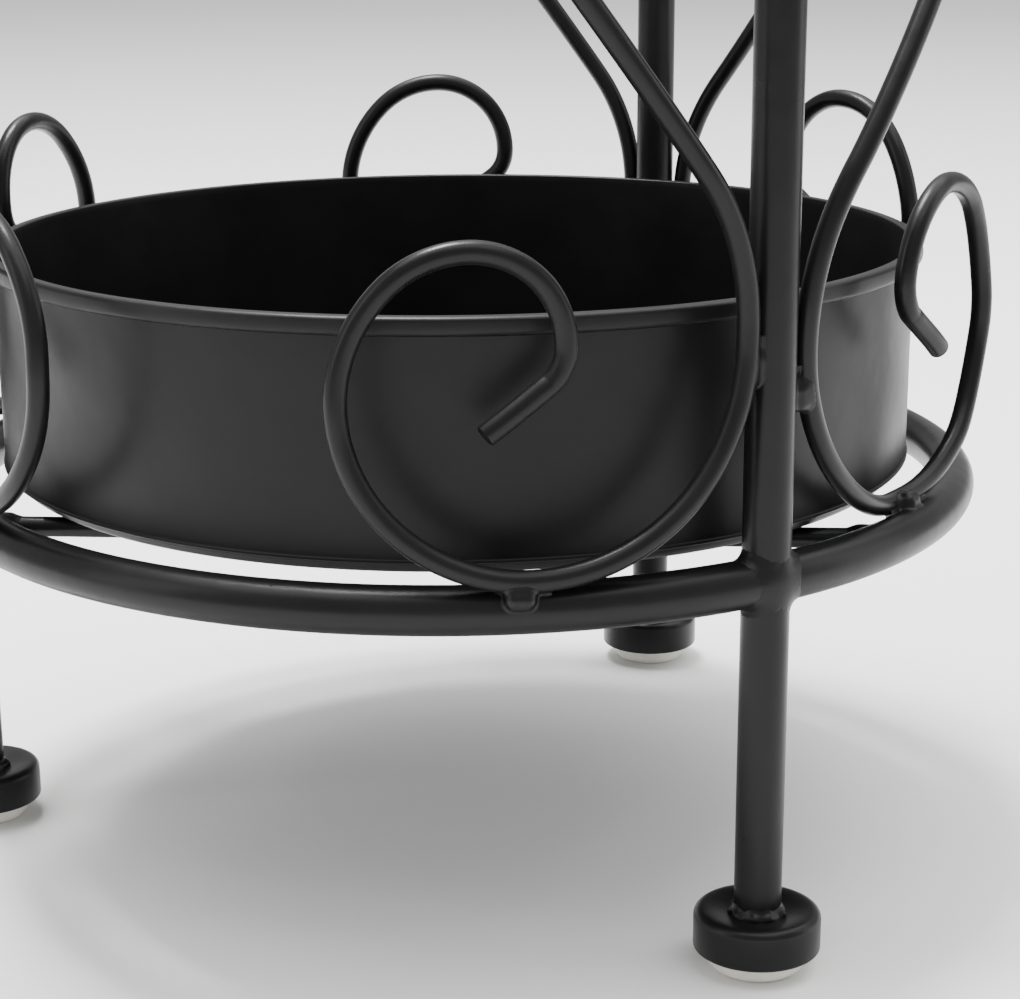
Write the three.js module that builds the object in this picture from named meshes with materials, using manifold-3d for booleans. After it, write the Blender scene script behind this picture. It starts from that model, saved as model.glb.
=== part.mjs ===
// Round umbrella stand with a lift-out drip tray. Millimetres, +Z up, floor at z = 0.
// Three bar legs carry a lower and an upper ring. Between the rings, a bent wire stands on either side
// of each leg, in two halves that meet at mid-height. Two wire bars across the lower ring hold the tray.
import * as THREE from 'three'
import { mergeVertices } from 'three/addons/utils/BufferGeometryUtils.js'
import Module from 'manifold-3d'

const wasm = await Module()
wasm.setup()

// Overall sizes
const overallHeight = 460
const ringRadius = 117.5 // centre line of both rings, and of the legs
const lowerRingHeight = 85 // ring centre above the floor
const legBearings = [15, 135, 258.2] // degrees from -Y towards +X

// Stock
const legDiameter = 10
const ringTubeDiameter = 10
const scrollWireDiameter = 4.6
const trayBarDiameter = 4.4
const fitGap = 0.3 // between pieces that the weld joins or that rest on each other

// Feet
const footCupRadius = 13.4
const footCupTop = 13.2
const footCupBottom = 4.4
const footCupWall = 3 // of steel over the glide
const footCupEdge = 2 // round of the top edge
const footCupLowerEdge = 0.8
const footCupDish = 0.8 // how far the top sinks towards the leg
const glideRadius = 10.3
const glideEdge = 2.4 // round of its lower edge

// Drip tray
const trayInset = 11 // from the rings' centre line in to the tray's wall
const trayHeight = 52.5
const traySheet = 0.9
const trayHemHeight = 4
const trayHemThickness = 2.6
const trayWallFoot = 2.6 // the wall's lower edge above the tray's underside
const trayCornerRadius = 3.2
const trayBaseRise = 5
const trayBarRise = 0.9 // above the lower ring's centre
const trayBarOffset = 65 // each bar's distance from the stand's axis
const trayBarTurn = -37.3 // degrees from the first leg to the line that the bars cross at right angles

// Scrolls: each wire is welded to its leg and stands on the ring with a spiral loop, which is bent
// from the leg weld down to the ring, over to the far side, and round to the hook
const scrollWeldHeight = 50.6 // of the leg weld above the ring's centre
const loopSeats = [[-5, 3.8], [3, 3], [2, 3]] // out from the ring's centre, right and left of each leg
const loopRises = [[4.5, 0], [10, 10], [0, 7]] // straight length on the far side, right and left
const farSideBends = [36.5, 33.9] // radii, an eighth of a turn each
const topBends = [31, 21.9]
const hookSideBend = 18.7 // a quarter turn
const hookBend = 9.1
const hookTurn = 54
const hookLength = 15.2
const armBend = 53.5 // radius of the bend above the leg weld
const armLean = 36 // degrees from upright, above that bend
const middleBend = 90 // radius of the bend up to mid-height, where the halves are butted and welded

// How far the wire's centre line stands out from the ring's
const legStandOut = 1.9
const farStandOut = 4.8
const topStandOut = 0
const hookSideStandOut = -1.3
const hookEndStandOut = 0.8
const armStandOut = 4.1

// Facets
const barSides = 12
const wireSides = 6
const roundSteps = 48
const footSteps = 20
const ringArcSteps = 18
const bendStep = 6 // degrees of a bend between its points
const scrollSteps = 64
const cornerSteps = 2

const tubeRadius = ringTubeDiameter / 2
const legRadius = legDiameter / 2
const wireRadius = scrollWireDiameter / 2
const upperRingHeight = overallHeight - tubeRadius
const middleHeight = (lowerRingHeight + upperRingHeight) / 2
const trayBarRadius = trayBarDiameter / 2
const trayBarHeight = lowerRingHeight + trayBarRise
const trayWallRadius = ringRadius - trayInset
const trayFloor = trayBarHeight + trayBarRadius + fitGap
const legAngles = legBearings.map(rad)
const panelAngles = legAngles.map((angle, i) => {
  const next = legAngles[i + 1] ?? legAngles[0] + 2 * Math.PI
  return next - angle
})

const blackSteel = { color: 0x232323, roughness: 0.42, metalness: 0.35 }
const whitePlastic = { color: 0xd9d6cc, roughness: 0.6, metalness: 0 }
const group = new THREE.Group()

function rad(degrees) {
  return (degrees * Math.PI) / 180
}

// A point at an angle from -Y towards +X
function around(angle, radius, height) {
  return new THREE.Vector3(radius * Math.sin(angle), -radius * Math.cos(angle), height)
}

function addPiece(name, geometry, material) {
  const piece = new THREE.Mesh(geometry, new THREE.MeshStandardMaterial(material))
  piece.name = name
  group.add(piece)
  return piece
}

function toSolid(geometry) {
  const plain = geometry.clone()
  plain.deleteAttribute('normal')
  plain.deleteAttribute('uv')
  const merged = mergeVertices(plain, 1e-4)
  const vertProperties = new Float32Array(merged.attributes.position.array)
  const triVerts = new Uint32Array(merged.index.array)
  return new wasm.Manifold(new wasm.Mesh({ numProp: 3, vertProperties, triVerts }))
}

function fromSolid(solid) {
  const mesh = solid.getMesh()
  const geometry = new THREE.BufferGeometry()
  geometry.setAttribute('position', new THREE.BufferAttribute(mesh.vertProperties, 3))
  geometry.setIndex(new THREE.BufferAttribute(mesh.triVerts, 1))
  geometry.computeVertexNormals()
  return geometry
}

function subtract(geometry, ...tools) {
  return fromSolid(tools.reduce((solid, tool) => solid.subtract(toSolid(tool)), toSolid(geometry)))
}

// An upright round bar between two heights
function uprightBar(radius, bottom, top, position) {
  const geometry = new THREE.CylinderGeometry(radius, radius, top - bottom, barSides)
  geometry.rotateX(Math.PI / 2)
  return geometry.translate(position.x, position.y, (bottom + top) / 2)
}

function ringTorus(tube, height) {
  return new THREE.TorusGeometry(ringRadius, tube, barSides, roundSteps).translate(0, 0, height)
}

// A solid of revolution about +Z from [radius, height] pairs
function turned(profile, steps) {
  const points = profile.map(([radius, height]) => new THREE.Vector2(radius, height))
  return new THREE.LatheGeometry(points, steps).rotateX(Math.PI / 2)
}

// Profile points of a quarter round, from its outermost point up to its topmost
function quarterRound(centreRadius, centreHeight, radius) {
  return Array.from({ length: cornerSteps + 1 }, (_, i) => {
    const angle = (Math.PI / 2) * (i / cornerSteps)
    return [centreRadius + radius * Math.cos(angle), centreHeight + radius * Math.sin(angle)]
  })
}

function flipAbout(height) {
  return ([radius, at]) => [radius, 2 * height - at]
}

function alongPath(curve, radius, sides, steps) {
  const section = new THREE.Shape()
  for (let i = 0; i < sides; i++) {
    const angle = (2 * Math.PI * i) / sides
    const move = i === 0 ? 'moveTo' : 'lineTo'
    section[move](radius * Math.cos(angle), radius * Math.sin(angle))
  }
  section.closePath()
  return new THREE.ExtrudeGeometry(section, { steps, extrudePath: curve, bevelEnabled: false })
}

class RingArc extends THREE.Curve {
  constructor(start, end, radius, height) {
    super()
    Object.assign(this, { start, end, radius, height })
  }

  getPoint(t) {
    return around(this.start + t * (this.end - this.start), this.radius, this.height)
  }
}

// A wire's route as it is bent: points of [along the ring, above the floor, out from its centre line]
class BentWire {
  constructor(start, heading) {
    this.points = [start]
    this.heading = heading
  }

  get end() {
    return this.points.at(-1)
  }

  ahead(length, heading = this.heading) {
    return new THREE.Vector2(this.end.x + length * Math.cos(heading), this.end.y + length * Math.sin(heading))
  }

  // Turns left, or right where the turn is negative
  bend(degrees, radius, standOut) {
    const side = Math.sign(degrees)
    const centre = this.ahead(radius, this.heading + (side * Math.PI) / 2)
    const from = this.heading - (side * Math.PI) / 2
    const arc = new THREE.EllipseCurve(centre.x, centre.y, radius, radius, from, from + rad(degrees), side < 0)
    this.heading += rad(degrees)
    return this.follow(arc, Math.ceil(Math.abs(degrees) / bendStep), standOut)
  }

  straight(length, standOut) {
    return length > 0 ? this.follow(new THREE.LineCurve(this.end, this.ahead(length)), 2, standOut) : this
  }

  follow(curve, steps, standOut) {
    const start = this.end.z
    const route = curve.getPoints(steps).slice(1)
    this.points.push(...route.map(({ x, y }, i) =>
      new THREE.Vector3(x, y, THREE.MathUtils.lerp(start, standOut, (i + 1) / steps))))
    return this
  }
}

// Legs: round bar, cut at the top to the round of the upper ring that rests on them
const footCupSeat = footCupTop - footCupDish
legAngles.forEach((angle, i) => {
  const foot = around(angle, ringRadius, 0)
  const bar = uprightBar(legRadius, footCupSeat + fitGap, upperRingHeight, foot)
  addPiece(`leg_${i + 1}`, subtract(bar, ringTorus(tubeRadius + fitGap, upperRingHeight)), blackSteel)
})

// Foot cups: turned caps with a rounded edge and a recess underneath
const recessTop = footCupSeat - footCupWall
const cupProfile = [
  [0, recessTop],
  [glideRadius + fitGap, recessTop],
  [glideRadius + fitGap, footCupBottom],
  [footCupRadius - footCupLowerEdge, footCupBottom],
  [footCupRadius, footCupBottom + footCupLowerEdge],
  ...quarterRound(footCupRadius - footCupEdge, footCupTop - footCupEdge, footCupEdge),
  [legRadius, footCupSeat],
  [0, footCupSeat],
]

// Glides: plastic plugs pressed into the cups, standing on the floor
const glideProfile = [
  [0, 0],
  ...quarterRound(glideRadius - glideEdge, glideEdge, glideEdge).map(flipAbout(glideEdge)).reverse(),
  [glideRadius, recessTop - fitGap],
  [0, recessTop - fitGap],
]
legAngles.forEach((angle, i) => {
  const foot = around(angle, ringRadius, 0)
  addPiece(`foot_cup_${i + 1}`, turned(cupProfile, footSteps), blackSteel).position.copy(foot)
  addPiece(`floor_glide_${i + 1}`, turned(glideProfile, footSteps), whitePlastic).position.copy(foot)
})

// Lower ring: three arcs between the legs, each cut to the round of the legs at both ends
legAngles.forEach((angle, i) => {
  const end = angle + panelAngles[i]
  const arc = new RingArc(angle, end, ringRadius, lowerRingHeight)
  const tube = alongPath(arc, tubeRadius, barSides, ringArcSteps)
  const cuts = [angle, end].map((at) =>
    uprightBar(legRadius + fitGap, lowerRingHeight - legDiameter, lowerRingHeight + legDiameter,
      around(at, ringRadius, 0)))
  addPiece(`lower_ring_arc_${i + 1}`, subtract(tube, ...cuts), blackSteel)
})

// Upper ring: one closed hoop on the leg tops
addPiece('upper_ring', ringTorus(tubeRadius, upperRingHeight), blackSteel)

// Tray bars: two parallel wires across the lower ring, cut to its round
const barTurn = legAngles[0] + rad(trayBarTurn)
for (const [name, side] of [['front', 1], ['back', -1]]) {
  const bar = new THREE.CylinderGeometry(trayBarRadius, trayBarRadius, 2 * ringRadius, barSides)
  bar.rotateZ(Math.PI / 2)
  bar.translate(0, -side * trayBarOffset, trayBarHeight).rotateZ(barTurn)
  const inside = turned([[0, 0], [ringRadius, 0], [ringRadius, 2 * lowerRingHeight], [0, 2 * lowerRingHeight]],
    roundSteps)
  const trimmed = toSolid(bar).intersect(toSolid(inside))
  const coped = trimmed.subtract(toSolid(ringTorus(tubeRadius + fitGap, lowerRingHeight)))
  const middle = coped.decompose().sort((a, b) => b.volume() - a.volume())[0]
  addPiece(`tray_bar_${name}`, fromSolid(middle), blackSteel)
}

// Drip tray: a rolled sheet wall with an outward hem, and a pressed base inside its lower edge
const wallInside = trayWallRadius - traySheet
const trayTop = trayFloor + trayHeight
const hemOutside = wallInside + trayHemThickness
addPiece('tray_wall', turned([
  [wallInside, trayFloor + trayWallFoot],
  [trayWallRadius, trayFloor + trayWallFoot],
  [trayWallRadius, trayTop - trayHemHeight],
  [hemOutside, trayTop - trayHemHeight + traySheet],
  [hemOutside, trayTop - traySheet],
  [wallInside + traySheet, trayTop],
  [wallInside, trayTop - traySheet / 2],
  [wallInside, trayFloor + trayWallFoot],
], roundSteps), blackSteel)

const baseOutside = wallInside - fitGap
const cornerCentre = baseOutside - trayCornerRadius
const cornerHeight = trayFloor + trayCornerRadius
addPiece('tray_base', turned([
  [0, trayFloor],
  ...quarterRound(cornerCentre, cornerHeight, trayCornerRadius).map(flipAbout(cornerHeight)).reverse(),
  [baseOutside, trayFloor + trayBaseRise],
  [baseOutside - traySheet, trayFloor + trayBaseRise],
  ...quarterRound(cornerCentre, cornerHeight, trayCornerRadius - traySheet).map(flipAbout(cornerHeight)),
  [0, trayFloor + traySheet],
], roundSteps), blackSteel)

// Evens out how far a wire stands out, as a sprung wire does from one bend to the next
function evened(points) {
  return points.map(({ x, y, z }, i) => {
    const before = (points[i - 1] ?? points[i]).z
    const after = (points[i + 1] ?? points[i]).z
    return new THREE.Vector3(x, y, (before + 2 * z + after) / 4)
  })
}

// Scrolls: the lower half of a wire, from the hook to mid-height
function scrollRoute(seat, rise) {
  const touch = legRadius + wireRadius + fitGap
  const wireAtLeg = ringRadius + legStandOut
  const legTurn = Math.acos((ringRadius ** 2 + wireAtLeg ** 2 - touch ** 2) / (2 * ringRadius * wireAtLeg))
  const weld = new THREE.Vector3(ringRadius * legTurn, lowerRingHeight + scrollWeldHeight, legStandOut)
  const lift = Math.sqrt((tubeRadius + wireRadius + fitGap) ** 2 - seat ** 2)

  const loop = new BentWire(weld, rad(-90))
  loop.bend(90, scrollWeldHeight - lift, seat)
  loop.bend(45, farSideBends[0], THREE.MathUtils.lerp(seat, farStandOut, Math.SQRT1_2))
  loop.bend(45, farSideBends[1], farStandOut)
  loop.straight(rise, farStandOut)
  loop.bend(45, topBends[0], (farStandOut + topStandOut) / 2)
  loop.bend(45, topBends[1], topStandOut)
  loop.bend(90, hookSideBend, hookSideStandOut)
  loop.bend(hookTurn, hookBend, hookSideStandOut)
  loop.straight(hookLength, hookEndStandOut)

  const lean = rad(armLean)
  const armRise = middleHeight - weld.y - (armBend + middleBend) * Math.sin(lean)
  const arm = new BentWire(weld, rad(90))
  arm.bend(-armLean, armBend, armStandOut)
  arm.straight(armRise / Math.cos(lean), armStandOut)
  arm.bend(armLean, middleBend, armStandOut)

  const half = evened([...loop.points.reverse(), ...arm.points.slice(1)])
  half.at(-1).y -= fitGap / 2
  return half
}

legAngles.forEach((angle, i) => {
  const sides = [['right', 1], ['left', -1]]
  sides.forEach(([name, side], hand) => {
    const route = scrollRoute(loopSeats[i][hand], loopRises[i][hand])
    const levels = [['lower', (height) => height], ['upper', (height) => 2 * middleHeight - height]]
    for (const [level, lift] of levels) {
      const points = route.map(({ x, y, z }) =>
        around(angle + (side * x) / ringRadius, ringRadius + z, lift(y)))
      const wire = new THREE.CatmullRomCurve3(points, false, 'centripetal')
      const piece = alongPath(wire, wireRadius, wireSides, scrollSteps)
      addPiece(`scroll_${i + 1}_${name}_${level}`, piece, blackSteel)
    }
  })
})

export default group
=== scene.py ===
import math

import bmesh
import bpy
from mathutils import Matrix, Vector


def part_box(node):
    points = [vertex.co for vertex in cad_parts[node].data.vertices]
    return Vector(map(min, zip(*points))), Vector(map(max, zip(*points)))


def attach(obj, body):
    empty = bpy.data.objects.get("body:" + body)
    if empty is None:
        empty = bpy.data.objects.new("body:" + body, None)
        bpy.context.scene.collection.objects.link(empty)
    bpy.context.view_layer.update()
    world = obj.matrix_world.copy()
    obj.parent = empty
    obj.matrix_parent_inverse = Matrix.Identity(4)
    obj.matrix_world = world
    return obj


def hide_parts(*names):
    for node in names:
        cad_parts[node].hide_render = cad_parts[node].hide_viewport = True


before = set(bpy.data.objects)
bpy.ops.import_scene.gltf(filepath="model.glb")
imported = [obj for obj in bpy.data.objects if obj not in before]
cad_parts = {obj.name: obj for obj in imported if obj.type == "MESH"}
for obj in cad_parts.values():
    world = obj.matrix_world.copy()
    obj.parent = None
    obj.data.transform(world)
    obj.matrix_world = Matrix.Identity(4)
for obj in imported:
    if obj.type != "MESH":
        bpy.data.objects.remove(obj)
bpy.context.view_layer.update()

MM = 0.001

# ---------------------------------------------------------------------------------------------
# Legs. Three upright round steel bars that carry both rings. They are cut to length, welded to
# everything else bare, and then the whole frame is powder coated in one go.
# ---------------------------------------------------------------------------------------------

def linear(hex_colour):
    parts = [int(hex_colour[i:i + 2], 16) / 255 for i in (0, 2, 4)]
    return [p / 12.92 if p <= 0.04045 else ((p + 0.055) / 1.055) ** 2.4 for p in parts] + [1.0]


def add_node(tree, kind, inputs=None, **settings):
    """Adds one node: settings are its properties, inputs its values or the outputs that feed it."""
    node = tree.nodes.new(kind)
    for name, value in settings.items():
        setattr(node, name, value)
    for socket, value in (inputs or {}).items():
        if isinstance(value, bpy.types.NodeSocket):
            tree.links.new(value, node.inputs[socket])
        else:
            node.inputs[socket].default_value = value
    return node


def powder_coat(name, colour, gloss, peel_depth):
    """Polyester powder, sprayed dry and baked: a satin skin with a fine orange peel, in mm."""
    coat = bpy.data.materials.new(name)
    coat.use_nodes = True
    tree = coat.node_tree
    shader = tree.nodes["Principled BSDF"]
    shader.inputs["IOR"].default_value = 1.5
    shader.inputs["Specular IOR Level"].default_value = 0.19
    where = add_node(tree, "ShaderNodeTexCoord").outputs["Object"]
    # Orange peel, cells of about 0.9 mm
    peel = add_node(tree, "ShaderNodeTexNoise",
                    {"Vector": where, "Scale": 1 / (0.9 * MM), "Detail": 2.0})
    # The slow waviness that drawn bar and rolled sheet show through the skin, about 9 mm long
    wave = add_node(tree, "ShaderNodeTexNoise",
                    {"Vector": where, "Scale": 1 / (9 * MM), "Detail": 1.5})
    # Nibs: single grains of dust under the skin, 0.6 mm across and some 14 mm apart
    nibs = add_node(tree, "ShaderNodeTexVoronoi", {"Vector": where, "Scale": 1 / (14 * MM)},
                    feature="F1")
    nib = add_node(tree, "ShaderNodeMapRange", {"Value": nibs.outputs["Distance"], "From Min": 0.0,
                   "From Max": 0.035, "To Min": 1.0, "To Max": 0.0}, interpolation_type="SMOOTHSTEP")
    # Powder lies a little thicker here and thinner there, in patches of about 25 mm
    patch = add_node(tree, "ShaderNodeTexNoise",
                     {"Vector": where, "Scale": 1 / (25 * MM), "Detail": 4.0})
    shade = add_node(tree, "ShaderNodeMapRange", {"Value": patch.outputs["Fac"], "From Min": 0.3,
                     "From Max": 0.7, "To Min": 0.0, "To Max": 1.0})
    darker = [c * 0.72 for c in linear(colour)[:3]] + [1.0]
    mix = add_node(tree, "ShaderNodeMix", {"Factor": shade.outputs["Result"], "A": darker,
                   "B": linear(colour)}, data_type="RGBA")
    tree.links.new(mix.outputs["Result"], shader.inputs["Base Color"])
    rough = add_node(tree, "ShaderNodeMapRange", {"Value": patch.outputs["Fac"], "From Min": 0.3,
                     "From Max": 0.7, "To Min": gloss - 0.05, "To Max": gloss + 0.06})
    tree.links.new(rough.outputs["Result"], shader.inputs["Roughness"])
    wave_depth = 0.16
    nib_height = 0.06
    bump = None
    for height, depth in ((wave.outputs["Fac"], wave_depth), (peel.outputs["Fac"], peel_depth),
                          (nib.outputs["Result"], nib_height)):
        inputs = {"Height": height, "Distance": depth * MM, "Strength": 1.0}
        if bump:
            inputs["Normal"] = bump.outputs["Normal"]
        bump = add_node(tree, "ShaderNodeBump", inputs)
    tree.links.new(bump.outputs["Normal"], shader.inputs["Normal"])
    return coat


# Satin black powder coat on bar and wire: near-black, with soft highlights that run along the bars
satin_black = powder_coat("satin_black_powder_coat", "141415", 0.32, 0.018)


def new_tree(name, sockets):
    tree = bpy.data.node_groups.new(name, "GeometryNodeTree")
    for label, kind in sockets:
        tree.interface.new_socket(label, in_out="INPUT", socket_type="NodeSocket" + kind)
    tree.interface.new_socket("Geometry", in_out="OUTPUT", socket_type="NodeSocketGeometry")
    return tree, tree.nodes.new("NodeGroupInput").outputs


def run_tree(tree, name, mesh, values):
    """Runs a tree on a mesh and returns a new object that holds the plain result."""
    piece = bpy.data.objects.new(name, mesh)
    bpy.context.scene.collection.objects.link(piece)
    modifier = piece.modifiers.new("make", "NODES")
    modifier.node_group = tree
    for item in tree.interface.items_tree:
        if item.in_out == "INPUT" and item.name in values:
            modifier[item.identifier] = values[item.name]
    bpy.context.view_layer.update()
    finished = piece.evaluated_get(bpy.context.evaluated_depsgraph_get())
    made = bpy.data.meshes.new_from_object(finished)
    piece.modifiers.remove(modifier)
    piece.data = made
    return piece


def close_up(piece, sharp_from):
    """Merges doubles, turns faces outwards, and keeps edges sharper than an angle crisp."""
    work = bmesh.new()
    work.from_mesh(piece.data)
    bmesh.ops.remove_doubles(work, verts=work.verts, dist=1e-7)
    bmesh.ops.recalc_face_normals(work, faces=work.faces)
    work.to_mesh(piece.data)
    work.free()
    piece.data.shade_smooth()
    piece.data.set_sharp_from_angle(angle=math.radians(sharp_from))
    return piece


def add_to_frame(piece, *nodes):
    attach(piece, "frame")
    if nodes:
        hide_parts(*nodes)


# One tree makes every bar and wire: a round section swept along a line, with its ends broken
bar_tree, given = new_tree("swept_bar", [("Line", "Geometry"), ("Radius", "Float"), ("Sides", "Int"),
                                         ("Edge break", "Float"), ("Coat", "Material")])
line = add_node(bar_tree, "GeometryNodeMeshToCurve", {"Mesh": given["Line"]})
along = add_node(bar_tree, "GeometryNodeSplineParameter")
whole = add_node(bar_tree, "GeometryNodeSplineLength")
left = add_node(bar_tree, "ShaderNodeMath", {0: whole.outputs["Length"], 1: along.outputs["Length"]},
                operation="SUBTRACT")
nearest_end = add_node(bar_tree, "ShaderNodeMath", {0: left.outputs[0], 1: along.outputs["Length"]},
                       operation="MINIMUM")
inset = add_node(bar_tree, "ShaderNodeMapRange", {"Value": nearest_end.outputs[0], "From Min": 0.0,
                 "From Max": 0.2 * MM, "To Min": given["Edge break"], "To Max": 0.0})
scale = add_node(bar_tree, "ShaderNodeMath", {0: 1.0, 1: inset.outputs["Result"]},
                 operation="SUBTRACT")
section = add_node(bar_tree, "GeometryNodeCurvePrimitiveCircle",
                   {"Resolution": given["Sides"], "Radius": given["Radius"]})
swept = add_node(bar_tree, "GeometryNodeCurveToMesh", {
    "Curve": line.outputs["Curve"], "Profile Curve": section.outputs["Curve"],
    "Scale": scale.outputs[0], "Fill Caps": True})
real = add_node(bar_tree, "GeometryNodeRealizeInstances", {"Geometry": swept.outputs["Mesh"]})
coated = add_node(bar_tree, "GeometryNodeSetMaterial",
                  {"Geometry": real.outputs[0], "Material": given["Coat"]})
add_node(bar_tree, "NodeGroupOutput", {"Geometry": coated.outputs[0]})

lines = {}


def draw_line(name, points, closed=False):
    """A centre line as a chain of edges, kept for the welds that follow it."""
    mesh = bpy.data.meshes.new(name + "_line")
    edges = [(i, i + 1) for i in range(len(points) - 1)]
    if closed:
        edges.append((len(points) - 1, 0))
    mesh.from_pydata(points, edges, [])
    lines[name] = bpy.data.objects.new(name + "_line", mesh)
    bpy.context.scene.collection.objects.link(lines[name])
    return mesh


def bar(name, points, radius, sides, closed=False, edge_break=0.0, replaces=()):
    mesh = draw_line(name, points, closed)
    piece = run_tree(bar_tree, name + "_bar", mesh.copy(), {
        "Radius": radius, "Sides": sides, "Edge break": edge_break, "Coat": satin_black})
    close_up(piece, 40)
    add_to_frame(piece, *(replaces or (name,)))
    return piece


leg_boxes = [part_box(f"leg_{n}") for n in (1, 2, 3)]
leg_feet = [(low + high) / 2 for low, high in leg_boxes]
leg_angles = [math.atan2(foot.x, -foot.y) for foot in leg_feet]
leg_radius = 5 * MM
ring_radius = sum(math.hypot(foot.x, foot.y) for foot in leg_feet) / 3
ring_low, ring_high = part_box("lower_ring_arc_1")
lower_ring_height = (ring_low.z + ring_high.z) / 2
hoop_low, hoop_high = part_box("upper_ring")
upper_ring_height = (hoop_low.z + hoop_high.z) / 2
middle_height = (lower_ring_height + upper_ring_height) / 2


def around(angle, radius, height):
    return Vector((radius * math.sin(angle), -radius * math.cos(angle), height))


for n, angle in enumerate(leg_angles, 1):
    foot_height = leg_boxes[n - 1][0].z
    steps = [foot_height + (upper_ring_height - foot_height) * i / 24 for i in range(25)]
    bar(f"leg_{n}", [around(angle, ring_radius, height) for height in steps], leg_radius, 48)

# ---------------------------------------------------------------------------------------------
# Rings. The lower ring is three bent lengths of the same bar between the legs, and the upper one
# is a closed hoop that sits on the leg tops. Both are rolled to shape, then welded and coated.
# ---------------------------------------------------------------------------------------------

tube_radius = 5 * MM
for n, angle in enumerate(leg_angles, 1):
    end = leg_angles[n % 3]
    span = (end - angle) % (2 * math.pi)
    bar(f"lower_ring_arc_{n}", [around(angle + span * i / 120, ring_radius, lower_ring_height)
                                for i in range(121)], tube_radius, 40)
bar("upper_ring", [around(math.tau * i / 360, ring_radius, upper_ring_height) for i in range(360)],
    tube_radius, 40, closed=True)

# ---------------------------------------------------------------------------------------------
# Scrolls. Six lengths of thin wire, each bent on a jig into a hooked spiral at either end and
# welded to its leg and to both rings. Being bent by hand, no two loops sit quite alike.
# ---------------------------------------------------------------------------------------------

wire_radius = 2.3 * MM
weld_gap = 0.3 * MM
weld_height = 50.6 * MM
loop_seats = [(-5, 3.8), (3, 3), (2, 3)]
loop_rises = [(4.5, 0), (10, 10), (0, 7)]
# How far the wire stands out from the ring's centre line, stage by stage
leg_stand, far_stand, top_stand, hook_stand, tip_stand, arm_stand = (
    v * MM for v in (1.9, 4.8, 0.0, -1.3, 0.8, 4.1))
# The jig's bend radii in millimetres, and the turns in degrees where they aren't eighths
far_side_bends = (36.5, 33.9)
top_bends = (31.0, 21.9)
hook_side_bend = 18.7
hook_bend, hook_turn, hook_length = 9.1, 54, 15.2
arm_bend, middle_bend, arm_lean = 53.5, 90, 36


class BentWire:
    """The route of a wire as it is bent: along the ring, above the floor, out from the ring."""

    def __init__(self, start, heading):
        self.points = [start]
        self.heading = math.radians(heading)

    def ahead(self, length, heading=None):
        turn = self.heading if heading is None else heading
        here = self.points[-1]
        return here[0] + length * math.cos(turn), here[1] + length * math.sin(turn)

    def follow(self, spots, stand):
        start = self.points[-1][2]
        for i, (x, y) in enumerate(spots, 1):
            self.points.append((x, y, start + (stand - start) * i / len(spots)))

    def bend(self, degrees, radius, stand):
        side = math.copysign(math.pi / 2, degrees)
        cx, cy = self.ahead(radius * MM, self.heading + side)
        count = max(2, round(abs(degrees) / 2))
        turns = [self.heading - side + math.radians(degrees) * i / count for i in range(1, count + 1)]
        self.follow([(cx + radius * MM * math.cos(t), cy + radius * MM * math.sin(t))
                     for t in turns], stand)
        self.heading += math.radians(degrees)

    def straight(self, length, stand):
        if length > 0:
            count = max(3, round(length / 1.5))
            self.follow([self.ahead(length * MM * i / count) for i in range(1, count + 1)], stand)


def scroll_route(seat, rise):
    """A whole wire as (along the ring, height, out from the ring), and where it touches its leg."""
    touch = leg_radius + wire_radius + weld_gap
    at_leg = ring_radius + leg_stand
    turn = math.acos((ring_radius ** 2 + at_leg ** 2 - touch ** 2) / (2 * ring_radius * at_leg))
    weld = (ring_radius * turn, lower_ring_height + weld_height, leg_stand)
    lift = math.sqrt((tube_radius + wire_radius + weld_gap) ** 2 - seat ** 2)
    loop = BentWire(weld, -90)
    loop.bend(90, (weld_height - lift) / MM, seat)
    loop.bend(45, far_side_bends[0], seat + (far_stand - seat) * math.sqrt(0.5))
    loop.bend(45, far_side_bends[1], far_stand)
    loop.straight(rise, far_stand)
    loop.bend(45, top_bends[0], (far_stand + top_stand) / 2)
    loop.bend(45, top_bends[1], top_stand)
    loop.bend(90, hook_side_bend, hook_stand)
    loop.bend(hook_turn, hook_bend, hook_stand)
    loop.straight(hook_length, tip_stand)
    last, before = Vector(loop.points[-1]), Vector(loop.points[-2])
    loop.points.insert(-1, tuple(last + (before - last).normalized() * 0.2 * MM))
    lean = math.radians(arm_lean)
    arm_rise = middle_height - weld[1] - (arm_bend + middle_bend) * MM * math.sin(lean)
    arm = BentWire(weld, 90)
    arm.bend(-arm_lean, arm_bend, arm_stand)
    arm.straight(arm_rise / math.cos(lean) / MM, arm_stand)
    arm.bend(arm_lean, middle_bend, arm_stand)
    half = loop.points[::-1] + arm.points[1:]
    stands = [z for x, y, z in half]
    for _ in range(8):
        stands = [(stands[max(i - 1, 0)] + 2 * z + stands[min(i + 1, len(stands) - 1)]) / 4
                  for i, z in enumerate(stands)]
    half = [(x, y, z) for (x, y, old), z in zip(half, stands)]
    return half + [(x, 2 * middle_height - y, z) for x, y, z in half[-2::-1]], weld


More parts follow.
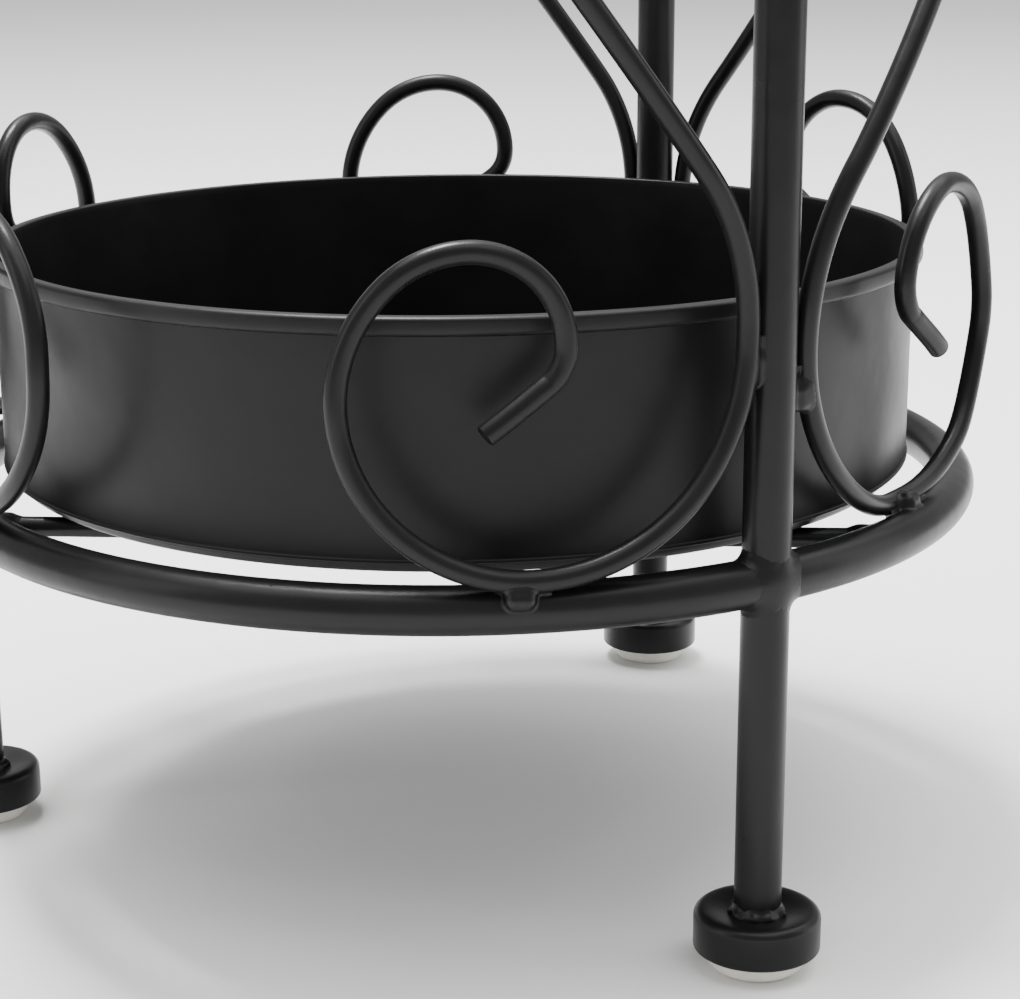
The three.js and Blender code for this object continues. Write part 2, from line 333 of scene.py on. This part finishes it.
# Filler on the ring and on the leg: bead radius, hollow at its edges and unevenness, in mm
ring_filler = (2.1, 1.5, 0.15)
leg_filler = (1.9, 2.0, 0.25)
left_hand_shift = 2.4
drop_on_leg = {1: 13.5, -1: 6.3}
wire_welds = []
butt_welds = []
for n, angle in enumerate(leg_angles, 1):
    for hand, (side_name, side) in enumerate((("right", 1), ("left", -1))):
        seat = loop_seats[n - 1][hand] * MM
        route, weld = scroll_route(seat, loop_rises[n - 1][hand])
        name = f"scroll_{n}_{side_name}"
        bar(name, [around(angle + side * x / ring_radius, ring_radius + z, y) for x, y, z in route],
            wire_radius, 28, edge_break=0.16, replaces=(name + "_lower", name + "_upper"))
        # Where the filler lies: outside the wire on the ring, and under the touch on the leg
        steep = math.asin(math.sqrt(1 - (seat / (7.6 * MM)) ** 2))
        steep = (math.pi - steep if seat < 0 else steep) - math.radians(26)
        lift = math.sqrt((tube_radius + wire_radius + weld_gap) ** 2 - seat ** 2)
        foot = weld[0] + weld_height - lift + (left_hand_shift * MM if side < 0 else 0)
        drop = drop_on_leg[side] * MM
        middle_x, middle_y, middle_z = route[len(route) // 2]
        butt = around(angle + side * middle_x / ring_radius, ring_radius + middle_z, middle_y)
        butt_welds.append((name, n, butt))
        for mirror in (False, True):
            flip = (lambda z: 2 * middle_height - z) if mirror else (lambda z: z)
            out, up = 6.1 * MM * math.cos(steep), 6.1 * MM * math.sin(steep)
            on_ring = [around(angle + side * (foot + shift * MM) / ring_radius, ring_radius + out,
                              flip(lower_ring_height + up)) for shift in (-0.9, 0.9)]
            on_leg = [around(angle + side * (5.6 + reach * reach / 180) * MM / ring_radius,
                             ring_radius + 0.9 * MM, flip(weld[1] - reach * MM))
                      for reach in (drop / MM - 1.2, drop / MM + 1.2)]
            ring = "upper_ring" if mirror else "lower_ring"
            wire_welds.append((name, ring, tube_radius, on_ring, *ring_filler))
            wire_welds.append((name, f"leg_{n}", leg_radius, on_leg, *leg_filler))

# ---------------------------------------------------------------------------------------------
# Tray bars. Two straight wires across the lower ring, which the drip tray rests on. Each is cut
# to the round of the ring and welded at both ends.
# ---------------------------------------------------------------------------------------------

bar_radius = 2.2 * MM
bar_welds = []
bar_turn = leg_angles[0] + math.radians(-37.3)
bar_height = lower_ring_height + 0.9 * MM
for name, side in (("tray_bar_front", 1), ("tray_bar_back", -1)):
    offset = 65 * MM
    half = math.sqrt(ring_radius ** 2 - offset ** 2)
    turned_by = Matrix.Rotation(bar_turn, 3, "Z")
    ends = [turned_by @ Vector((x, -side * offset, bar_height)) for x in (-half, half)]
    bar(name, [ends[0].lerp(ends[1], i / 40) for i in range(41)], bar_radius, 28)
    for end in ends:
        bar_welds.append((name, end + ((ends[0] + ends[1]) / 2 - end).normalized() * 6 * MM))

# ---------------------------------------------------------------------------------------------
# Welds. Small beads of filler run into the corner where two bars meet, wetted out into a hollow
# and sealed under the coat. They hold the whole frame together.
# ---------------------------------------------------------------------------------------------

# One tree makes every bead: two bars and a short run of filler, melted into each other, of which
# only the filler and its hollow edges are kept
weld_tree, given = new_tree("weld_bead", [
    ("Run", "Geometry"), ("First bar", "Object"), ("Second bar", "Object"), ("First radius", "Float"),
    ("Second radius", "Float"), ("Run radius", "Float"), ("Hollow", "Float"), ("Place", "Vector"),
    ("Box", "Float"), ("Voxels", "Int"), ("Unevenness", "Float"), ("Coat", "Material")])


def maths(operation, a, b=0.0):
    return add_node(weld_tree, "ShaderNodeMath", {0: a, 1: b}, operation=operation).outputs[0]


def melted(a, b):
    """How far the hollow between two skins is filled, above the nearer of them."""
    apart = maths("ABSOLUTE", maths("SUBTRACT", a, b))
    within = maths("MAXIMUM", maths("SUBTRACT", given["Hollow"], apart), 0.0)
    share = maths("DIVIDE", within, given["Hollow"])
    return maths("MULTIPLY", maths("MULTIPLY", share, share), maths("MULTIPLY", given["Hollow"], 0.25))


def skin_of(geometry, radius):
    near = add_node(weld_tree, "GeometryNodeProximity", {0: geometry}, target_element="EDGES")
    return maths("SUBTRACT", near.outputs["Distance"], radius)


first, second = (
    skin_of(add_node(weld_tree, "GeometryNodeObjectInfo", {"Object": given[side]}).outputs["Geometry"],
            given[radius])
    for side, radius in (("First bar", "First radius"), ("Second bar", "Second radius")))
place = add_node(weld_tree, "GeometryNodeInputPosition").outputs[0]
ripple = add_node(weld_tree, "ShaderNodeTexNoise",
                  {"Vector": place, "Scale": 1 / (2.4 * MM), "Detail": 1.0})
lump = maths("MULTIPLY", maths("SUBTRACT", ripple.outputs["Fac"], 0.5), given["Unevenness"])
run = maths("ADD", skin_of(given["Run"], given["Run radius"]), lump)
bars = maths("MINIMUM", first, second)
joined = maths("SUBTRACT", bars, melted(first, second))
union = maths("SUBTRACT", maths("MINIMUM", joined, run), melted(joined, run))
raised = maths("SUBTRACT", bars, union)
solid = maths("MAXIMUM", maths("MAXIMUM", union, maths("SUBTRACT", 0.03 * MM, raised)),
              maths("SUBTRACT", -1.5 * MM, bars))
size = add_node(weld_tree, "ShaderNodeCombineXYZ", {0: given["Box"], 1: given["Box"], 2: given["Box"]})
corners = [add_node(weld_tree, "ShaderNodeVectorMath", {0: given["Place"], 1: size.outputs[0]},
                    operation=operation).outputs[0] for operation in ("SUBTRACT", "ADD")]
block = add_node(weld_tree, "GeometryNodeVolumeCube", {
    "Density": maths("MULTIPLY", solid, -1000.0), "Background": -1.0,
    "Min": corners[0], "Max": corners[1], "Resolution X": given["Voxels"],
    "Resolution Y": given["Voxels"], "Resolution Z": given["Voxels"]})
skin = add_node(weld_tree, "GeometryNodeVolumeToMesh", {"Volume": block.outputs[0], "Threshold": 0.0})
real = add_node(weld_tree, "GeometryNodeRealizeInstances", {"Geometry": skin.outputs[0]})
coated = add_node(weld_tree, "GeometryNodeSetMaterial",
                  {"Geometry": real.outputs[0], "Material": given["Coat"]})
add_node(weld_tree, "NodeGroupOutput", {"Geometry": coated.outputs[0]})


def drop_specks(work, fewest):
    """Deletes the grains that the voxels leave at a bead's thin edge: islands of few vertices."""
    unseen = set(work.verts)
    while unseen:
        island = {unseen.pop()}
        shore = list(island)
        while shore:
            vertex = shore.pop()
            near = {edge.other_vert(vertex) for edge in vertex.link_edges}
            shore.extend(near - island)
            island |= near
        unseen -= island
        if len(island) < fewest:
            bmesh.ops.delete(work, geom=list(island), context="VERTS")


smallest_bead = 150


def weld_group(name, beads):
    """Runs the tree once for each bead and joins the beads into one piece. A bead is its two
    bars and their radii, the run's points, and in mm its radius, hollow, box and unevenness."""
    joined = bmesh.new()
    for first, second, first_radius, second_radius, ends, run_radius, hollow, box, uneven in beads:
        run = bpy.data.meshes.new("run")
        closed = [(len(ends) - 1, 0)] if len(ends) > 2 else []
        run.from_pydata(ends, [(i, i + 1) for i in range(len(ends) - 1)] + closed, [])
        piece = run_tree(weld_tree, "bead", run, {
            "First bar": lines[first], "Second bar": lines[second], "First radius": first_radius,
            "Second radius": second_radius, "Run radius": run_radius * MM, "Hollow": hollow * MM,
            "Place": tuple(sum(ends, Vector()) / len(ends)), "Box": box * MM, "Voxels": 60,
            "Unevenness": uneven * MM, "Coat": satin_black})
        joined.from_mesh(piece.data)
        bpy.data.objects.remove(piece)
    mesh = bpy.data.meshes.new(name)
    drop_specks(joined, smallest_bead)
    joined.to_mesh(mesh)
    joined.free()
    mesh.materials.append(satin_black)
    group = bpy.data.objects.new(name, mesh)
    bpy.context.scene.collection.objects.link(group)
    close_up(group, 38)
    add_to_frame(group)


draw_line("lower_ring", [around(math.tau * i / 360, ring_radius, lower_ring_height)
                         for i in range(360)], closed=True)
weld_group("leg_welds", [
    (f"leg_{n}", ring, leg_radius, tube_radius,
     [around(angle, ring_radius, height + up * MM) for up in (-1, 1)], -10.0, 2.8, 9.0, 0.0)
    for n, angle in enumerate(leg_angles, 1)
    for ring, height in (("lower_ring", lower_ring_height), ("upper_ring", upper_ring_height))])
weld_group("scroll_welds", [
    (wire, other, wire_radius, radius, ends, thick, hollow, 6.5, uneven)
    for wire, other, radius, ends, thick, hollow, uneven in wire_welds])
weld_group("tray_bar_welds", [
    (wire, "lower_ring", bar_radius, tube_radius, [spot, spot + Vector((0, 0, 0.6 * MM))],
     2.3, 1.6, 6.0, 0.3)
    for wire, spot in bar_welds])
weld_group("butt_welds", [
    (wire, f"leg_{n}", wire_radius, leg_radius, [spot, spot + Vector((0, 0, 0.3 * MM))],
     2.55, 1.2, 4.6, 0.5)
    for wire, n, spot in butt_welds])

# ---------------------------------------------------------------------------------------------
# Feet. A turned steel cup closes each leg, welded round the leg's foot. It holds a moulded
# plastic glide that is pressed in from below and keeps the steel off the floor.
# ---------------------------------------------------------------------------------------------

def turned_piece(name, profile, steps, centre, material, sharp_from):
    """A solid of revolution from (radius, height) pairs in millimetres, about an upright axis."""
    work = bmesh.new()
    rows = []
    for radius, height in profile:
        if radius == 0:
            rows.append([work.verts.new(centre + Vector((0, 0, height * MM)))] * steps)
            continue
        rows.append([work.verts.new(centre + around(math.tau * i / steps, radius * MM, height * MM))
                     for i in range(steps)])
    for low, high in zip(rows, rows[1:] + (rows[:1] if profile[0][0] and profile[-1][0] else [])):
        for i in range(steps):
            j = (i + 1) % steps
            ring_of = list(dict.fromkeys([low[i], low[j], high[j], high[i]]))
            if len(ring_of) > 2:
                work.faces.new(ring_of)
    mesh = bpy.data.meshes.new(name)
    work.to_mesh(mesh)
    work.free()
    mesh.materials.append(material)
    piece = bpy.data.objects.new(name, mesh)
    bpy.context.scene.collection.objects.link(piece)
    return close_up(piece, sharp_from)


def rounded(centre_radius, centre_height, wide, tall, start, end, count):
    """Profile points on an arc, from a start to an end angle in degrees above outwards."""
    turns = [math.radians(start + (end - start) * i / count) for i in range(count + 1)]
    return [(centre_radius + wide * math.cos(t), centre_height + tall * math.sin(t)) for t in turns]


def moulded_plastic(name, colour):
    """Polyethylene from a matt mould: a faint grain, and a little light let in under the skin."""
    plastic = bpy.data.materials.new(name)
    plastic.use_nodes = True
    tree = plastic.node_tree
    shader = tree.nodes["Principled BSDF"]
    shader.inputs["IOR"].default_value = 1.51
    shader.inputs["Subsurface Weight"].default_value = 0.15
    shader.inputs["Subsurface Radius"].default_value = (1.2 * MM, 1.0 * MM, 0.7 * MM)
    where = add_node(tree, "ShaderNodeTexCoord").outputs["Object"]
    grain = add_node(tree, "ShaderNodeTexNoise",
                     {"Vector": where, "Scale": 1 / (0.5 * MM), "Detail": 3.0})
    scuff = add_node(tree, "ShaderNodeTexNoise",
                     {"Vector": where, "Scale": 1 / (6 * MM), "Detail": 4.0})
    tone = add_node(tree, "ShaderNodeValToRGB", {"Fac": scuff.outputs["Fac"]})
    tone.color_ramp.elements[0].color = [c * 0.86 for c in linear(colour)[:3]] + [1.0]
    tone.color_ramp.elements[0].position = 0.35
    tone.color_ramp.elements[1].color = linear(colour)
    tone.color_ramp.elements[1].position = 0.6
    tree.links.new(tone.outputs["Color"], shader.inputs["Base Color"])
    shader.inputs["Roughness"].default_value = 0.55
    bump = add_node(tree, "ShaderNodeBump", {"Height": grain.outputs["Fac"], "Distance": 0.03 * MM})
    tree.links.new(bump.outputs["Normal"], shader.inputs["Normal"])
    return plastic


# Off-white moulded polyethylene: a warm, matt ring of light under the black cup
glide_plastic = moulded_plastic("off_white_moulded_polyethylene", "e6e3d8")
cup_low, cup_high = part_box("foot_cup_1")
glide_low, glide_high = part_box("floor_glide_1")
cup_bottom, cup_top = cup_low.z / MM, cup_high.z / MM
dish_depth = 0.8
cup_seat = cup_top - dish_depth
glide_radius = (glide_high.x - glide_low.x) / 2 / MM
cup_radius = 13.4
lip, shoulder = 0.7, 1.9
crest = cup_radius - shoulder
glide_edge = 2.4
fit_gap = 0.3
recess_top = cup_seat - 3
recess_radius = glide_radius + fit_gap
cup_profile = ([(0, recess_top), (recess_radius, recess_top), (recess_radius, cup_bottom)]
               + rounded(cup_radius - lip, cup_bottom + lip, lip, lip, -90, 0, 4)
               + rounded(crest, cup_top - shoulder, shoulder, shoulder, 0, 90, 10)
               + [(crest - 0.65 * i, cup_top - dish_depth * (0.5 - 0.5 * math.cos(math.pi * i / 10)))
                  for i in range(1, 11)]
               + [(0, cup_seat)])
glide_profile = ([(0, 0), (5, 0)]
                 + rounded(glide_radius - glide_edge, glide_edge, glide_edge, glide_edge, -90, 0, 10)
                 + [(glide_radius, recess_top - fit_gap), (0, recess_top - fit_gap)])
for n, foot in enumerate(leg_feet, 1):
    centre = Vector((foot.x, foot.y, 0))
    cup = turned_piece(f"foot_cup_{n}_turned", cup_profile, 72, centre, satin_black, 50)
    add_to_frame(cup, f"foot_cup_{n}")
    glide = turned_piece(f"floor_glide_{n}_moulded", glide_profile, 72, centre, glide_plastic, 50)
    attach(glide, "frame")
    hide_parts(f"floor_glide_{n}")
weld_group("foot_welds", [
    (f"leg_{n}", "upper_ring", leg_radius, tube_radius,
     [Vector((foot.x, foot.y, 0)) + around(math.tau * i / 24, (5.2 + 0.4 * math.sin(2.3 * i + n)) * MM,
                                           (cup_seat - 0.1 + 0.4 * math.sin(1.7 * i + 2 * n)) * MM)
      for i in range(24)], 0.9, 1.8, 8.0, 0.5)
    for n, foot in enumerate(leg_feet, 1)])

# ---------------------------------------------------------------------------------------------
# Drip tray. A strip of thin sheet is rolled into a wall, its top edge hemmed outwards, and a
# pressed base is folded into its foot. It is coated by itself and lifts out to be emptied.
# ---------------------------------------------------------------------------------------------

# Satin black powder coat on sheet: the same powder, lying smoother on the flat than on the bars
tray_black = powder_coat("satin_black_powder_coat_on_sheet", "151516", 0.4, 0.012)
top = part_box("tray_wall")[1].z / MM
floor_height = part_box("tray_base")[0].z / MM
sheet = 0.9
wall_out = 106.5
wall_in = 105.6
wall_foot = floor_height + 2.6
wall_profile = ([(wall_in, wall_foot + 0.3), (wall_in + 0.3, wall_foot)]
                + rounded(wall_out - 0.15, wall_foot + 0.5, 0.55, 0.5, -90, 70, 8)
                + [(wall_out, wall_foot + 1.3 + (top - 4.0 - wall_foot - 1.3) * i / 12)
                   for i in range(13)]
                + rounded(107.2, top - 2.9, 1.4, 1.3, -90, 0, 10) + [(108.65, top - 2.2)]
                + rounded(107.2, top - 1.2, 1.3, 1.0, 0, 90, 10)
                + rounded(106.2, top - 0.6, 0.6, 0.4, 90, 180, 6)
                + [(wall_in, top - 2.0), (wall_in, floor_height + 20)])
corner = 3.2
base_profile = ([(0, floor_height), (60, floor_height)]
                + rounded(wall_in - corner, floor_height + corner, corner, corner, -90, 0, 10)
                + [(wall_in, floor_height + 5), (wall_in - sheet, floor_height + 5)]
                + rounded(wall_in - corner, floor_height + corner, corner - sheet, corner - sheet,
                          0, -90, 8)
                + [(60, floor_height + sheet), (0, floor_height + sheet)])
for name, profile in (("tray_wall", wall_profile), ("tray_base", base_profile)):
    pressed = turned_piece(name + "_sheet", profile, 288, Vector(), tray_black, 40)
    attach(pressed, "drip_tray")
    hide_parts(name)

# The centre lines have done their work
for centre_line in lines.values():
    bpy.data.objects.remove(centre_line)

# ---------------------------------------------------------------------------------------------
# Studio. A flat floor of matt white paper under large soft lights, with the camera a little above
# the lower ring. None of it is part of the stand.
# ---------------------------------------------------------------------------------------------

look = math.radians(72.001)
pitch = math.radians(16.555)
roll = 0.0062535
forward = Vector((math.cos(look) * math.cos(pitch), math.sin(look) * math.cos(pitch),
                  -math.sin(pitch)))
right = Vector((math.sin(look), -math.cos(look), 0))
down = forward.cross(right)
across = math.cos(roll) * right + math.sin(roll) * down
upward = math.sin(roll) * right - math.cos(roll) * down
camera_data = bpy.data.cameras.new("camera")
camera_data.sensor_width = 36
camera_data.lens = 82.696
camera_data.shift_y = 0.0602
camera_data.clip_start = 0.02
camera = bpy.data.objects.new("camera", camera_data)
turn = Matrix((across, upward, -forward)).transposed().to_4x4()
stands_at = (-0.15783, -0.52633, 0.22334)
camera.matrix_world = Matrix.Translation(stands_at) @ turn
bpy.context.scene.collection.objects.link(camera)
bpy.context.scene.camera = camera

floor_mesh = bpy.data.meshes.new("floor")
floor_mesh.from_pydata([(-9, -9, 0), (9, -9, 0), (9, 9, 0), (-9, 9, 0)], [], [(0, 1, 2, 3)])
floor = bpy.data.objects.new("floor", floor_mesh)
bpy.context.scene.collection.objects.link(floor)
paper = bpy.data.materials.new("matt_white_paper")
paper.use_nodes = True
paper_shader = paper.node_tree.nodes["Principled BSDF"]
paper_shader.inputs["Base Color"].default_value = linear("f6f6f5")
paper_shader.inputs["Roughness"].default_value = 0.9
paper_shader.inputs["Specular IOR Level"].default_value = 0.1
floor_mesh.materials.append(paper)

world = bpy.data.worlds.new("studio")
bpy.context.scene.world = world
world.use_nodes = True
world.node_tree.nodes["Background"].inputs["Color"].default_value = linear("fbfbfc")
world.node_tree.nodes["Background"].inputs["Strength"].default_value = 0.75


def softbox(name, sideways, back, height, wide, tall, watts):
    """An area light placed from the camera's side of the stand and aimed at the ring."""
    light = bpy.data.lights.new(name, "AREA")
    light.shape = "RECTANGLE"
    light.size = wide
    light.size_y = tall
    light.energy = watts
    box = bpy.data.objects.new(name, light)
    level = Vector((forward.x, forward.y, 0)).normalized()
    spot = right * sideways + level * back + Vector((0, 0, height))
    aim = Vector((0, 0, 0.12)) - spot
    box.matrix_world = Matrix.Translation(spot) @ aim.to_track_quat("-Z", "Y").to_matrix().to_4x4()
    bpy.context.scene.collection.objects.link(box)


softbox("top_light", 0.1, 0.3, 2.2, 3.2, 3.2, 100)
softbox("high_light", -0.25, 0.35, 1.5, 0.4, 0.4, 45)
softbox("left_light", -1.3, -0.5, 0.7, 0.5, 1.1, 4.5)
softbox("right_light", 1.4, 0.1, 0.6, 0.6, 1.2, 5)
